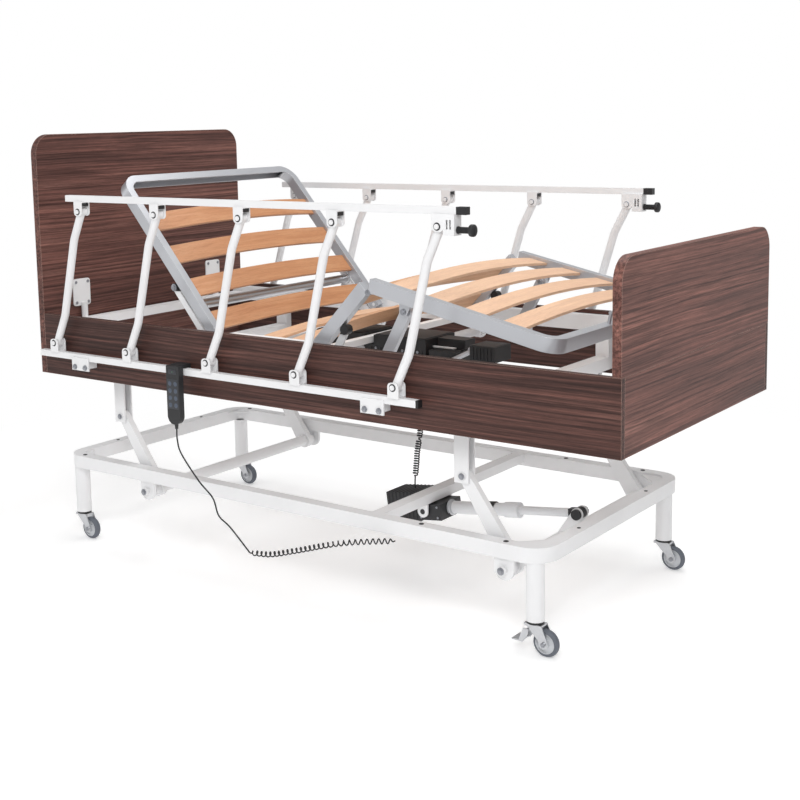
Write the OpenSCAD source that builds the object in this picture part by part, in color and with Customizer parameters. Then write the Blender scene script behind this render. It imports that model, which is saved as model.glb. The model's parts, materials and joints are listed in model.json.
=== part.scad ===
// Adjustable homecare bed: wheeled lift base, panelled deck, four-section
// slatted platform, folding side rails and a wired handset.
// Origin: on the floor, under the centre of the panelled deck.
// +X points to the foot end, +Y to the left-hand side rail, +Z up.

/* [Deck and boards] */
// Overall length, outer face of the headboard to outer face of the footboard
bed_length = 2126; // [2110:2:2140]
// Overall width over the side panels
bed_width = 970; // [966:2:974]
// Height of the lower edge of the panels above the floor
panel_bottom = 582; // [580:1:584]
// Height of the side panels
panel_height = 200; // [196:2:204]
// Thickness of the side panels
panel_t = 18; // [16:1:19]
// Thickness of the headboard and footboard
board_t = 25; // [22:1:25]
// Height of the headboard's top edge above the floor
head_top = 1374; // [1300:2:1400]
// Height of the footboard's top edge above the floor
foot_top = 1072; // [1040:2:1100]
// Radius of the boards' upper corners
board_r = 65; // [40:1:80]

/* [Base] */
// Distance between the caster legs along the bed
leg_pitch_x = 1764; // [1760:2:1768]
// Distance between the caster legs across the bed
leg_pitch_y = 800; // [798:1:802]
// Diameter of the caster legs
leg_d = 50; // [44:1:52]
// Outer corner radius of the base ring
ring_r = 75; // [75:1:76]

/* [Lift] */
// Length of the lift arms between their pivots
arm_length = 268; // [268:1:268]
// Lean of the lift arms from vertical
arm_lean = 34.05; // [34.05:0.05:34.05]

/* [Platform] */
// Rise of the backrest
back_angle = 49.5; // [49.5:0.5:49.5]
// Rise of the thigh section
thigh_angle = 46.5; // [46.5:0.5:46.5]
// Fall of the leg section
leg_angle = 12; // [12:0.5:12]
// Width of a bed slat
slat_w = 66; // [56:1:70]
// Thickness of a bed slat
slat_t = 8; // [6:0.5:10]
// Rise of a slat's middle above its ends
slat_crown = 20; // [16:1:24]

/* [Side rails] */
// Distance between neighbouring posts
post_pitch = 341; // [341:1:341]
// Diameter of a post
post_d = 25; // [22:1:26]
// Section of the upper and lower side rail tubes
rail_s = 20; // [18:1:22]

/* [Hidden] */
$fn = 48;

WALNUT = "#5a3a33";
WHITE = "#f0f0ee";
SILVER = "#b9bcbf";
BEECH = "#d9a273";
BLACK = "#222326";
ZINC = "#a8abad";

// Running clearance of a pivot, and the small overlap that welds two shapes.
run = 0.05;
weld = 1;

// Deck levels and edges
panel_top = panel_bottom + panel_height;
half_l = bed_length / 2;
half_w = bed_width / 2;
board_in = half_l - board_t;
deck_top = 770;
side_rail_h = 50;
side_rail_w = 30;
side_rail_out = half_w - panel_t;
side_rail_in = side_rail_out - side_rail_w;

// Base ring
ring_cx = -103;
ring_w = 40;
ring_z0 = 254;
ring_z1 = 296;
ring_wall = 2;
ring_x0 = ring_cx - leg_pitch_x / 2 - 47;
ring_x1 = ring_cx + leg_pitch_x / 2 + 47;
ring_y = leg_pitch_y / 2 + 35;
leg_bottom = 93;
leg_x = [ring_cx - leg_pitch_x / 2, ring_cx + leg_pitch_x / 2];

// Casters
wheel_r = 37.5;
trail = 33;
axle_r = 4;
stem_r = 6;

// Lift linkage: lower pivots on the base, upper pivots on the deck
head_low = [-640, 222];
foot_low = [700, 222];
arm_dx = arm_length * sin(arm_lean);
arm_dz = arm_length * cos(arm_lean);
head_up = head_low + [-arm_dx, arm_dz];
foot_up = foot_low + [-arm_dx, arm_dz];
arm_y = 375;
arm_t = 20;
arm_pin_r = 7;

// Lift actuator: tail pivot under the cross tube, eye on the foot arms' crank
tail = [262, 238];
eye = [751, 300];
lift_y = -100;
lift_tilt = atan2(eye[1] - tail[1], eye[0] - tail[0]);
lift_len = norm(eye - tail);

// Platform sections
back_hinge = [-323, 752.5];
thigh_hinge = [65, 750];
back_length = 624;
thigh_length = 265;
leg_length = 598;
section_y = 418;
section_w = 26;
back_depth = 35;
thigh_depth = 40;
hinge_pin_r = 6;
knee = thigh_hinge + thigh_length * [cos(thigh_angle), sin(thigh_angle)]
  + thigh_depth / 2 * [sin(thigh_angle), -cos(thigh_angle)];
knuckle_r = 8;

// Lifting levers
back_shaft = [-318, 690];
back_lever_length = 270;
back_lever_angle = 130.3;
knee_shaft = [100, 690];
knee_lever_length = 150;
knee_lever_angle = 59.2;
lever_y = 405;
shaft_r = 15;

// Leg support link
link_top = [112, -27];
link_length = 197;
link_y = 375;
link_angle = -118.38;

// Side rails
rail_y = 515;
rail_low_z = [650, 670];
rail_top_z = [1162, 1182];
post_foot = [424, 698];
post_knots = [[0, 0], [44, 93], [105.5, 341], [148, 433]];
post_rise = post_knots[3];
left_turn = 3.5;
left_knots = [for (p = post_knots) [p[0] * cos(left_turn) + p[1] * sin(left_turn),
                                    p[1] * cos(left_turn) - p[0] * sin(left_turn)]];
left_rise = left_knots[3];
post_pin_r = 4;

// Handset
handset_x = [-406, -353];
handset_face = -550;
handset_z = [500, 680];
button_rows = [626, 604, 582, 560];
button_cols = [-391, -368];
button_r = 7.5;

// ---------- helpers ----------

// Box between two corners.
module box(x0, x1, y0, y1, z0, z1) {
  translate([x0, y0, z0]) cube([x1 - x0, y1 - y0, z1 - z0]);
}

// Round bar along Y.
module bar_y(x, z, y0, y1, r) {
  translate([x, y1, z]) rotate([90, 0, 0]) cylinder(r = r, h = y1 - y0);
}

// Round bar along X.
module bar_x(x0, x1, y, z, r) {
  translate([x0, y, z]) rotate([0, 90, 0]) cylinder(r = r, h = x1 - x0);
}

// Flat shape in the X-Z plane, thickened from y0 to y1.
module plate_xz(y0, y1) {
  translate([0, y1, 0]) rotate([90, 0, 0]) linear_extrude(y1 - y0) children();
}

// Flat shape in the Y-Z plane, thickened from x0 to x1.
module plate_yz(x0, x1) {
  translate([x0, 0, 0]) rotate([90, 0, 90]) linear_extrude(x1 - x0) children();
}

// The children on the right side (-Y) and mirrored to the left side.
module both_sides() {
  children();
  mirror([0, 1, 0]) children();
}

// Rectangle with round corners.
module round_rect(x0, x1, y0, y1, r) {
  translate([x0 + r, y0]) square([x1 - x0 - 2 * r, y1 - y0]);
  translate([x0, y0 + r]) square([x1 - x0, y1 - y0 - 2 * r]);
  for (x = [x0 + r, x1 - r], y = [y0 + r, y1 - r]) translate([x, y]) circle(r = r);
}

// Board outline: square lower corners, round upper corners.
module board_outline(w, z0, z1, r) {
  translate([-w / 2, z0]) square([w, z1 - z0 - r]);
  translate([-w / 2 + r, z0]) square([w - 2 * r, z1 - z0]);
  for (s = [-1, 1]) translate([s * (w / 2 - r), z1 - r]) circle(r = r);
}

// Channel across the bed, open downwards.
module cross_channel(x0, x1, y_end, z0, z1) {
  difference() {
    box(x0, x1, -y_end, y_end, z0, z1);
    box(x0 + 3, x1 - 3, -y_end - 1, y_end + 1, z0 - 1, z1 - 3);
  }
}

// Rectangular tube along X, open at both ends.
module tube_x(x0, x1, y0, y1, z0, z1, t = 2) {
  difference() {
    box(x0, x1, y0, y1, z0, z1);
    box(x0 - 1, x1 + 1, y0 + t, y1 - t, z0 + t, z1 - t);
  }
}

// Plan of a U-bent frame: open end at x = 0, closed end at x = length.
module u_plan(length, y, w, r, inset) {
  difference() {
    union() {
      translate([-weld, -y + inset]) square([length - r + weld, 2 * (y - inset)]);
      translate([length - r - weld, -y + r]) square([r + weld - inset, 2 * (y - r)]);
      for (s = [-1, 1]) translate([length - r, s * (y - r)]) circle(r = r - inset);
    }
    translate([-2 * weld, -y + w - inset])
      square([length - r + 2 * weld, 2 * (y - w + inset)]);
    translate([length - r - weld, -y + r])
      square([r - w + weld + inset, 2 * (y - r)]);
    for (s = [-1, 1]) translate([length - r, s * (y - r)]) circle(r = r - w + inset);
    translate([-3 * weld, -y - weld]) square([3 * weld, 2 * (y + weld)]);
  }
}

// U-bent hollow frame, its mid-plane at z = 0.
module u_frame(length, y, w, depth, r, t = 2) {
  difference() {
    translate([0, 0, -depth / 2]) linear_extrude(depth) u_plan(length, y, w, r, 0);
    translate([-t, 0, -depth / 2 + t]) linear_extrude(depth - 2 * t)
      u_plan(length, y, w, r, t);
    for (s = [-1, 1])
      box(-1, t + 1, s * (y - w / 2) - w / 2 + t, s * (y - w / 2) + w / 2 - t,
          -depth / 2 + t, depth / 2 - t);
  }
}

// Sprung slat across the bed, centred on x = 0, its ends' undersides at z = 0.
module slat(span, w = slat_w) {
  half = span / 2;
  bow_r = (half * half + slat_crown * slat_crown) / (2 * slat_crown);
  sweep = 2 * asin(half / bow_r);
  translate([0, 0, slat_crown - bow_r]) rotate([0, -90, 0])
    rotate([0, 0, -sweep / 2]) rotate_extrude(angle = sweep, $fn = 360)
      translate([bow_r, -w / 2]) square([slat_t, w]);
}

// Places a platform section that turns about a hinge across the bed.
module at_hinge(p, angle) {
  translate([p[0], 0, p[1]]) rotate([0, angle, 0]) children();
}

// ---------- base ----------

module ring_plan(inset) {
  difference() {
    round_rect(ring_x0 + inset, ring_x1 - inset, -ring_y + inset, ring_y - inset,
               ring_r - inset);
    round_rect(ring_x0 + ring_w - inset, ring_x1 - ring_w + inset,
               -ring_y + ring_w - inset, ring_y - ring_w + inset,
               ring_r - ring_w + inset);
  }
}

// Lug that carries a torque tube's end below the ring.
module pivot_lug(p) {
  plate_xz(-ring_y + 8, -ring_y + 18) {
    translate([p[0] - 30, p[1]]) square([60, ring_z0 - p[1] + weld]);
    translate([p[0], p[1]]) circle(r = 30);
  }
}

// Ear under the cross tube that holds one trunnion of the lift actuator.
module trunnion_ear(y0, y1) {
  plate_xz(y0, y1) {
    translate([tail[0] - 18, tail[1]]) square([36, 266 - tail[1] + weld]);
    translate(tail) circle(r = 18);
  }
}

module base_frame() color(WHITE) difference() {
  union() {
    translate([0, 0, ring_z0]) linear_extrude(ring_z1 - ring_z0) ring_plan(0);
    box(246, 286, -ring_y + ring_w - weld, ring_y - ring_w + weld, 266, ring_z1);
    for (x = leg_x, s = [-1, 1])
      translate([x, s * leg_pitch_y / 2, leg_bottom])
        cylinder(r = leg_d / 2, h = ring_z0 - leg_bottom + weld);
    both_sides() for (p = [head_low, foot_low]) pivot_lug(p);
    for (end = [[0, 85], [1, 60]]) translate([ring_cx, 0, 0]) mirror([end[0], 0, 0])
      both_sides() translate([0, 0, 286]) linear_extrude(4)
        polygon([[ring_x1 - ring_cx - ring_w + weld, -ring_y + ring_w + end[1]],
                 [ring_x1 - ring_cx - ring_w + weld, -ring_y + ring_w + 12],
                 [ring_x1 - ring_cx - ring_w - 12, -ring_y + ring_w - weld],
                 [ring_x1 - ring_cx - ring_w - end[1], -ring_y + ring_w - weld]]);
    trunnion_ear(lift_y - 66, lift_y - 60);
    trunnion_ear(lift_y + 60, lift_y + 66);
  }
  translate([0, 0, ring_z0 + ring_wall])
    linear_extrude(ring_z1 - ring_z0 - 2 * ring_wall) ring_plan(ring_wall);
  box(248, 284, -ring_y + ring_w + 1, ring_y - ring_w - 1, 268, ring_z1 - 2);
  for (s = [-1, 1]) translate([266, s * 380, 260]) cylinder(r = 4, h = 10);
  for (x = leg_x, s = [-1, 1]) translate([x, s * leg_pitch_y / 2, 0]) {
    translate([0, 0, leg_bottom + 42])
      cylinder(r = leg_d / 2 - 3, h = ring_z0 - leg_bottom - 38);
    translate([0, 0, leg_bottom - 1]) cylinder(r = stem_r + run, h = 60);
  }
  for (x = [-950, 430, 700], s = [-1, 1])
    translate([x, s * (ring_y - ring_w / 2), ring_z1 - 4]) cylinder(r = 6, h = 5);
  for (p = [head_low, foot_low])
    bar_y(p[0], p[1], -ring_y - 1, ring_y + 1, 10 + run);
  bar_y(tail[0], tail[1], lift_y - 70, lift_y + 70, 8 + run);
}

// ---------- lift arms ----------

// Tapered arm from its torque tube to its upper pivot.
module lift_arm(low, up) {
  plate_xz(-arm_y - arm_t / 2, -arm_y + arm_t / 2) {
    polygon([low + 27 * [-cos(arm_lean), -sin(arm_lean)],
             low + 27 * [cos(arm_lean), sin(arm_lean)],
             up + 17 * [cos(arm_lean), sin(arm_lean)],
             up + 17 * [-cos(arm_lean), -sin(arm_lean)]]);
    translate(low) circle(r = 27);
    translate(up) circle(r = 17);
  }
}

// Torque tube with stub shafts, and an arm near each end.
module arm_pair(low, up, play) {
  difference() {
    union() {
      bar_y(low[0], low[1], -405, 405, 19);
      bar_y(low[0], low[1], -ring_y - 2, ring_y + 2, 10);
      both_sides() lift_arm(low, up);
      both_sides() bar_y(low[0], low[1], -ring_y - 8, -ring_y - 1, 14);
    }
    bar_y(low[0], low[1], -360, 360, 16);
    bar_y(up[0], up[1], -400, 400, arm_pin_r + play);
    bar_x(low[0] - 30, low[0], 200, low[1], 3);
  }
}

module head_lift_arms() color(WHITE) arm_pair(head_low, head_up, run);

// Foot arms, with the crank that the lift actuator pushes.
module foot_lift_arms() color(WHITE) difference() {
  union() {
    arm_pair(foot_low, foot_up, 0.5);
    for (y = [lift_y - 18, lift_y + 13]) plate_xz(y, y + 5) {
      polygon([foot_low + [-18, 4], foot_low + [18, -4], eye + [15, -7],
               eye + [-15, 7]]);
      translate(eye) circle(r = 18);
    }
  }
  bar_y(eye[0], eye[1], lift_y - 20, lift_y + 20, 13);
  bar_y(foot_low[0], foot_low[1], -150, -50, 16);
}

// ---------- lift actuator, drawn along its own axis from the tail pivot ----------

module along_actuator() {
  translate([tail[0], lift_y, tail[1]]) rotate([0, -lift_tilt, 0]) children();
}

module lift_actuator() color(BLACK) along_actuator() difference() {
  union() {
    box(-26, 58, -56, 56, -28, 20);
    box(-140, -25, -50, 50, -36, 52);
    bar_x(57, 66, 0, -2, 22);
    bar_x(60, 262, 0, 0, 19);
    bar_x(252, 300, 0, 0, 23);
    bar_y(0, 0, -67, -55, 8);
    bar_y(0, 0, 55, 67, 8);
  }
  bar_x(70, 301, 0, 0, 12.6);
}

module lift_actuator_rod() color(SILVER) along_actuator() union() {
  bar_x(150, lift_len - 16, 0, 0, 12.5);
  box(lift_len - 30, lift_len, -12, 12, -13, 13);
  bar_y(lift_len, 0, -12, 12, 16);
  bar_y(lift_len, 0, -24, 24, 5.6);
  bar_y(lift_len, 0, -26, -19, 15);
  bar_y(lift_len, 0, 19, 26, 15);
}

// ---------- casters ----------

module caster_fork(x, y) color(ZINC) translate([x, y, 0]) difference() {
  union() {
    translate([0, 0, 80]) cylinder(r = stem_r, h = 52);
    translate([0, 0, 84]) cylinder(r = 22, h = 8.4);
    box(-26, 26, -17, 17, 80, 86);
    both_sides() plate_xz(-17, -14) {
      polygon([[-24, 86], [26, 86], [trail + 12, 44], [trail + 12, 32],
               [trail + 3, 26], [trail - 11, 30], [trail - 14, 42]]);
      translate([trail, wheel_r]) circle(r = 13);
    }
    bar_y(trail, wheel_r, -20, 20, axle_r);
    bar_y(trail, wheel_r, -21, -17, 7);
    bar_y(trail, wheel_r, 17, 21, 7);
  }
  bar_y(-18, 66, -30, 30, 4);
}

module caster_wheel(x, y) color("#6d7078")
  translate([x + trail, y, wheel_r]) rotate([90, 0, 0]) rotate_extrude() {
    translate([axle_r + run, -12.5]) square([7, 25]);
    translate([axle_r + 4, -4]) square([19, 8]);
    translate([26, -10]) square([4, 20]);
    translate([wheel_r - 12, 0]) intersection() {
      circle(r = 12);
      translate([3, -12]) square([12, 24]);
    }
  }

// Foot pedal that brakes the right-hand foot caster.
module brake_pedal() color(ZINC) translate([leg_x[1], -leg_pitch_y / 2, 0])
  difference() {
    union() {
      bar_y(-18, 66, -22, 22, 3.95);
      both_sides() plate_xz(-21.5, -18.5) {
        polygon([[-10, 72], [-10, 60], [-26, 34], [-38, 34], [-38, 40], [-26, 72]]);
      }
      box(-60, -30, -21.5, 21.5, 34, 38);
    }
  }

// ---------- deck ----------

// Hanger that carries one upper pivot of a lift arm.
module arm_hanger(up) {
  for (y = [-arm_y - 17, -arm_y + 12]) plate_xz(y, y + 5) {
    translate([up[0] - 26, up[1]]) square([46, 638 - up[1]]);
    translate([up[0] - 26, up[1] - 20]) square([46, 24]);
  }
  box(up[0] - 26, up[0] - 22, -arm_y - 17, -arm_y + 17, up[1] - 20, 638);
  bar_y(up[0], up[1], -arm_y - 19, -arm_y + 19, arm_pin_r);
  bar_y(up[0], up[1], -arm_y - 19.5, -arm_y - 16, 12);
  bar_y(up[0], up[1], -arm_y + 16, -arm_y + 21, 12);
}

// Plate hung from the deck rail that carries a lever shaft's end.
module shaft_plate(p) {
  difference() {
    union() {
      plate_xz(-427, -421) {
        translate([p[0] - 24, p[1]]) square([48, 44]);
        translate(p) circle(r = 24);
      }
      box(p[0] - 20, p[0] + 20, -side_rail_in - weld, -426, p[1] + 32, p[1] + 44);
    }
    bar_y(p[0], p[1], -430, -418, 10 + run);
  }
}

// Slotted plate that guides the lower end of a leg support link.
module link_guide() {
  difference() {
    box(222, 296, -392, -388, 672, 726);
    box(244, 273, -395, -385, 688.5, 713.5);
    for (x = [244, 273]) bar_y(x, 701, -395, -385, 12.5);
  }
  box(288, 294, -side_rail_in - weld, -391, 674, 724);
}

module deck_frame() color(WHITE) {
  both_sides() {
    tube_x(-board_in, board_in, -side_rail_out, -side_rail_in,
           deck_top - side_rail_h, deck_top);
    for (up = [head_up, foot_up]) arm_hanger(up);
    for (up = [head_up, foot_up]) for (x = [up[0] - 26])
      box(x, x + 46, -side_rail_out, -side_rail_in, 600, 722);
    for (p = [back_hinge, thigh_hinge])
      bar_y(p[0], p[1], -side_rail_in - weld, -section_y + section_w - 1,
            hinge_pin_r);
    for (p = [back_shaft, knee_shaft]) shaft_plate(p);
    link_guide();
    tube_x(-262, 28, -section_y, -section_y + section_w, 720, deck_top);
    for (x = [-236, -6])
      box(x, x + 26, -side_rail_in - weld, -section_y + weld, 732, 758);
  }
  for (up = [head_up, foot_up])
    cross_channel(up[0] - 26, up[0] + 20, side_rail_out - 1, 600, 640);
  cross_channel(-1026, -986, side_rail_in + weld, 724, 752);
  cross_channel(984, 1024, side_rail_out - 1, 640, 680);
  both_sides() {
    box(984, 1024, -side_rail_out, -side_rail_in, 650, 722);
    difference() {
      translate([0, 0, 676]) linear_extrude(5)
        polygon([[868, -side_rail_out], [1036, -side_rail_out], [1036, -300],
                 [1004, -300], [868, -side_rail_out + 30]]);
      translate([960, -side_rail_in + 12, 670]) cylinder(r = 7, h = 12);
    }
  }
  for (x = [-236, -6]) cross_channel(x, x + 26, section_y - 4, 716, 736);
  for (y = [-42, 30]) box(-356, 300, y, y + 12, 714, 718);
}

module head_board() color(WALNUT) plate_yz(-half_l, -board_in)
  board_outline(bed_width, panel_bottom, head_top, board_r);

module foot_board() color(WALNUT) plate_yz(board_in, half_l)
  board_outline(bed_width, panel_top + 0.6, foot_top, board_r);

module foot_apron() color(WALNUT)
  box(board_in, half_l, -half_w + panel_t + 0.4, half_w - panel_t - 0.4,
      panel_bottom, panel_top);

module side_panel() box(-board_in, half_l, -half_w, -half_w + panel_t,
                        panel_bottom, panel_top);

module side_panel_right() color(WALNUT) side_panel();

module side_panel_left() color(WALNUT) mirror([0, 1, 0]) side_panel();

// Screwed plates with pegs that drop into the head cross channel.
module board_mount_plates() color(WHITE) for (y = [-322, 325])
  translate([0, y, 0]) {
    plate_yz(-board_in, -board_in + 4) round_rect(-37, 37, 790, 882, 10);
    for (y = [-26, 26], z = [801, 871])
      translate([-board_in + 2, y, z]) rotate([0, 90, 0]) cylinder(r = 5, h = 4);
    translate([-board_in + 14, 0, 752]) cylinder(r = 11, h = 50);
    box(-board_in + 3, -board_in + 14, -8, 8, 794, 800);
  }

module seat_slats() color(BEECH) for (x = [-150, -38])
  translate([x, 0, deck_top - 20]) slat(2 * (section_y - section_w) - 4);

// Double drive hung on the two lever shafts.
module twin_drive() color(BLACK) difference() {
  union() {
    box(-356, 222, -80, 80, 640, 712);
    box(-250, 30, -70, 70, 606, 641);
    box(-200, -14, -80, 80, 711, 742);
    box(28, 222, -80, 80, 711, 742);
    plate_xz(-80, 80) for (p = [back_shaft, knee_shaft]) translate(p) circle(r = 23);
  }
  for (p = [back_shaft, knee_shaft]) bar_y(p[0], p[1], -90, 90, shaft_r + run);
  for (y = [-42, 30]) box(-357, 302, y - 0.5, y + 12.5, 711, 719);
}

// Mains box and battery box behind the drive.
module control_box() color(BLACK) {
  box(232, 330, -78, 82, 668, 712);
  box(232, 330, -28, 28, 711, 742);
  box(398, 483, -110, -20, 700, 746);
}

// Rod that steadies the battery box against the mains box.
module drive_stay() color(SILVER) {
  start = [268, -94, 664];
  end = [394.5, -94, 725.8];
  step = end - start;
  translate(start) rotate([0, acos(step[2] / norm(step)), 0])
    cylinder(r = 7, h = norm(step));
  box(256, 276, -102, -78.1, 656, 672);
  box(387, 397.9, -102, -86, 716, 736);
}

// ---------- platform ----------

module backrest_frame() color(SILVER) at_hinge(back_hinge, back_angle)
  difference() {
    union() {
      mirror([1, 0, 0]) translate([-14, 0, 0])
        u_frame(back_length + 14, section_y, section_w, back_depth, 62);
      both_sides() bar_y(0, 0, -section_y, -section_y + section_w, 12);
    }
    bar_y(0, 0, -section_y - 1, section_y + 1, hinge_pin_r + run);
  }

module backrest_slats() color(BEECH) at_hinge(back_hinge, back_angle)
  for (x = [55, 183, 312, 442]) translate([-x, 0, back_depth / 2 - 18])
    slat(2 * (section_y - section_w) - 4);

// Knee barrel segment: y0..y1 on the right side.
module knuckle(y0, y1) {
  both_sides() bar_y(0, 0, y0, y1, knuckle_r);
}

module thigh_frame() color(SILVER) difference() {
  union() {
    at_hinge(thigh_hinge, -thigh_angle) {
      both_sides() tube_x(-25, thigh_length - 1, -section_y,
        -section_y + section_w, -thigh_depth / 2, thigh_depth / 2);
      both_sides() box(thigh_length - 5, thigh_length - 1, -section_y,
        -section_y + section_w, -thigh_depth / 2, thigh_depth / 2);
      both_sides() bar_y(0, 0, -section_y, -section_y + section_w, 12);
    }
    translate([knee[0], 0, knee[1]]) knuckle(-section_y + 9, -section_y + 17);
  }
  bar_y(thigh_hinge[0], thigh_hinge[1], -section_y - 1, section_y + 1,
        hinge_pin_r + run);
  bar_y(knee[0], knee[1], -section_y - 1, section_y + 1, 4 + run);
  translate([knee[0], 0, knee[1]]) both_sides() {
    bar_y(0, 0, -section_y - 1, -section_y + 8.8, knuckle_r + 0.6);
    bar_y(0, 0, -section_y + 17.2, -section_y + section_w + 1, knuckle_r + 0.6);
  }
}

module thigh_slats() color(BEECH) at_hinge(thigh_hinge, -thigh_angle)
  for (x = [60, 200]) translate([x, 0, thigh_depth / 2 - 18])
    slat(2 * (section_y - section_w) - 4);

module leg_frame() color(SILVER) difference() {
  union() {
    at_hinge(knee, leg_angle) {
      translate([1, 0, thigh_depth / 2])
        u_frame(leg_length - 1, section_y, section_w, thigh_depth, 55);
      both_sides() box(1, 5, -section_y, -section_y + section_w, 0, thigh_depth);
      both_sides() link_tab();
      mattress_hoop();
    }
    translate([knee[0], 0, knee[1]]) {
      knuckle(-section_y, -section_y + 8.8);
      knuckle(-section_y + 17.2, -section_y + section_w);
      knuckle_pin();
    }
  }
  translate([knee[0], 0, knee[1]]) both_sides()
    difference() {
      bar_y(0, 0, -section_y + 8.8, -section_y + 17.2, knuckle_r + 0.6);
      bar_y(0, 0, -section_y, -section_y + section_w, 4);
    }
}

module knuckle_pin() {
  both_sides() bar_y(0, 0, -section_y + 1, -section_y + section_w - 1, 4);
}

// Tab under the leg rail for the support link's upper bolt.
module link_tab() {
  plate_xz(-section_y + section_w - 3, -section_y + section_w + 1) {
    translate([link_top[0] - 20, 0]) square([40, 12]);
    polygon([[link_top[0] - 20, 2], [link_top[0] + 20, 2], [link_top[0] + 13, -30],
             [link_top[0] - 13, -30]]);
    translate(link_top) circle(r = 13);
  }
  bar_y(link_top[0], link_top[1], -link_y - 16, -link_y + 11, 6);
  bar_y(link_top[0], link_top[1], -link_y + 9, -link_y + 14, 10);
}

// Low hoop at the foot end that keeps the mattress from sliding.
module mattress_hoop() {
  x = leg_length - section_w / 2;
  for (s = [-1, 1]) translate([x, s * 110, thigh_depth - weld])
    cylinder(r = 5, h = 31 + weld);
  bar_y(x, thigh_depth + 30, -115, 115, 5);
}

module leg_slats() color(BEECH) at_hinge(knee, leg_angle)
  for (i = [0:3]) translate([76 + 122 * i, 0, thigh_depth - 18])
    slat(2 * (section_y - section_w) - 4);

module leg_support_links() color(SILVER) {
  top = knee + [link_top[0] * cos(leg_angle) + link_top[1] * sin(leg_angle),
                -link_top[0] * sin(leg_angle) + link_top[1] * cos(leg_angle)];
  both_sides() translate([top[0], 0, top[1]]) rotate([0, -link_angle, 0])
    difference() {
      union() {
        plate_xz(-link_y - 8, -link_y + 8) {
          translate([0, -17]) square([link_length, 34]);
          circle(r = 17);
          translate([link_length, 0]) circle(r = 17);
        }
        bar_y(link_length, 0, -392.4, -link_y + 8, 7);
        bar_y(link_length, 0, -link_y + 7, -link_y + 12, 11);
      }
      bar_y(0, 0, -link_y - 10, -link_y + 10, 6 + run);
    }
}

// Shaft with a roller arm near each end; the arm lies off-centre by its two edges.
module lever_pair(p, length, angle, up, low, roller) {
  tip = p + length * [cos(angle), sin(angle)];
  out = [sin(angle), -cos(angle)];
  bar_y(p[0], p[1], -418, 418, shaft_r);
  bar_y(p[0], p[1], -428, 428, 10);
  both_sides() {
    plate_xz(-lever_y - 4, -lever_y + 4) {
      polygon([p + up * out, p - low * out, tip - low * out, tip + up * out]);
      translate(p) circle(r = 20);
      translate(tip) circle(r = roller - 1);
    }
    bar_y(tip[0], tip[1], -lever_y - 12, -lever_y + 12, roller);
  }
}

module back_lift_lever() color(WHITE)
  lever_pair(back_shaft, back_lever_length, back_lever_angle, 5, 15, 12);

module knee_lift_lever() color(WHITE)
  lever_pair(knee_shaft, knee_lever_length - 3, knee_lever_angle, 11, 11, 14);

// ---------- side rails, drawn on the right side ----------

function post_x(i) = post_foot[0] - post_pitch * (5 - i);

// Bracket cheeks around a post's pivot, with the pin between them.
module rail_bracket(x, z, x0, x1, z0, z1, web) {
  for (y = [-rail_y - 17, -rail_y + 14]) plate_xz(y, y + 3)
    translate([x + (x0 + x1) / 2, 0])
      if (web < z) board_outline(x1 - x0, z0, z1, 12);
      else mirror([0, 1]) board_outline(x1 - x0, -z1, -z0, 12);
  box(x + x0, x + x1, -rail_y - 17, -rail_y + 17, web, web + 4);
  bar_y(x, z, -rail_y - 16, -rail_y + 16, post_pin_r);
  bar_y(x, z, -rail_y - 21, -rail_y - 16, 7);
  bar_y(x, z, -rail_y + 16, -rail_y + 21, 7);
}

module rail_base() {
  tube_x(-1017, 495, -rail_y - rail_s / 2, -rail_y + rail_s / 2,
         rail_low_z[0], rail_low_z[1]);
  box(493, 501, -rail_y - rail_s / 2, -rail_y + rail_s / 2,
      rail_low_z[0], rail_low_z[1]);
  for (i = [1:5])
    rail_bracket(post_x(i), post_foot[1], -17, 19, rail_low_z[1] - 2,
                 post_foot[1] + 13.5, rail_low_z[1] - 1);
  for (x = [-819, 352]) {
    box(x - 39, x + 39, -rail_y - 14, -rail_y - 9, 618, 660);
    box(x - 30, x + 30, -rail_y - 11, -half_w, 624, 636);
    box(x - 30, x + 30, -rail_y - 2, -half_w, 635, rail_low_z[0] + 1);
    for (dx = [-24, 24]) bar_y(x + dx, 629, -rail_y - 19, -rail_y - 13, 6);
  }
}

module side_rail_base_right() color(WHITE) rail_base();

module side_rail_base_left() color(WHITE) mirror([0, 1, 0]) rail_base();

// Post: steep middle between two flatter ends, with an eye at each end.
module post(i, knots) {
  translate([post_x(i), -rail_y, post_foot[1]]) difference() {
    union() {
      for (k = [0:2]) {
        step = knots[k + 1] - knots[k];
        translate([knots[k][0], 0, knots[k][1]])
          rotate([0, atan2(step[0], step[1]), 0])
            translate([0, 0, [0, -3, -0.5][k]])
              cylinder(r = post_d / 2 - (k == 1 ? 0.5 : 0),
                       h = norm(step) + (k == 1 ? 6 : 0.5));
      }
      for (p = [knots[0], knots[3]]) bar_y(p[0], p[1], -13, 13, post_d / 2 + 1);
    }
    for (p = [knots[0], knots[3]]) bar_y(p[0], p[1], -14, 14, post_pin_r + run);
  }
}

module right_post(i) color(WHITE) post(i, post_knots);

module left_post(i) color(WHITE) mirror([0, 1, 0]) post(i, left_knots);

module top_rail() {
  tube_x(-856, 628, -rail_y - rail_s / 2, -rail_y + rail_s / 2,
         rail_top_z[0], rail_top_z[1]);
  box(-856, -850, -rail_y - rail_s / 2, -rail_y + rail_s / 2,
      rail_top_z[0], rail_top_z[1]);
  box(626, 655, -rail_y - rail_s / 2, -rail_y + rail_s / 2,
      rail_top_z[0], rail_top_z[1]);
  for (i = [1:5])
    rail_bracket(post_x(i) + post_rise[0], post_foot[1] + post_rise[1], -17, 19,
                 post_foot[1] + post_rise[1] - 13.6, rail_top_z[0] + 2,
                 rail_top_z[0] - 3);
  latch_bracket();
}

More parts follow.
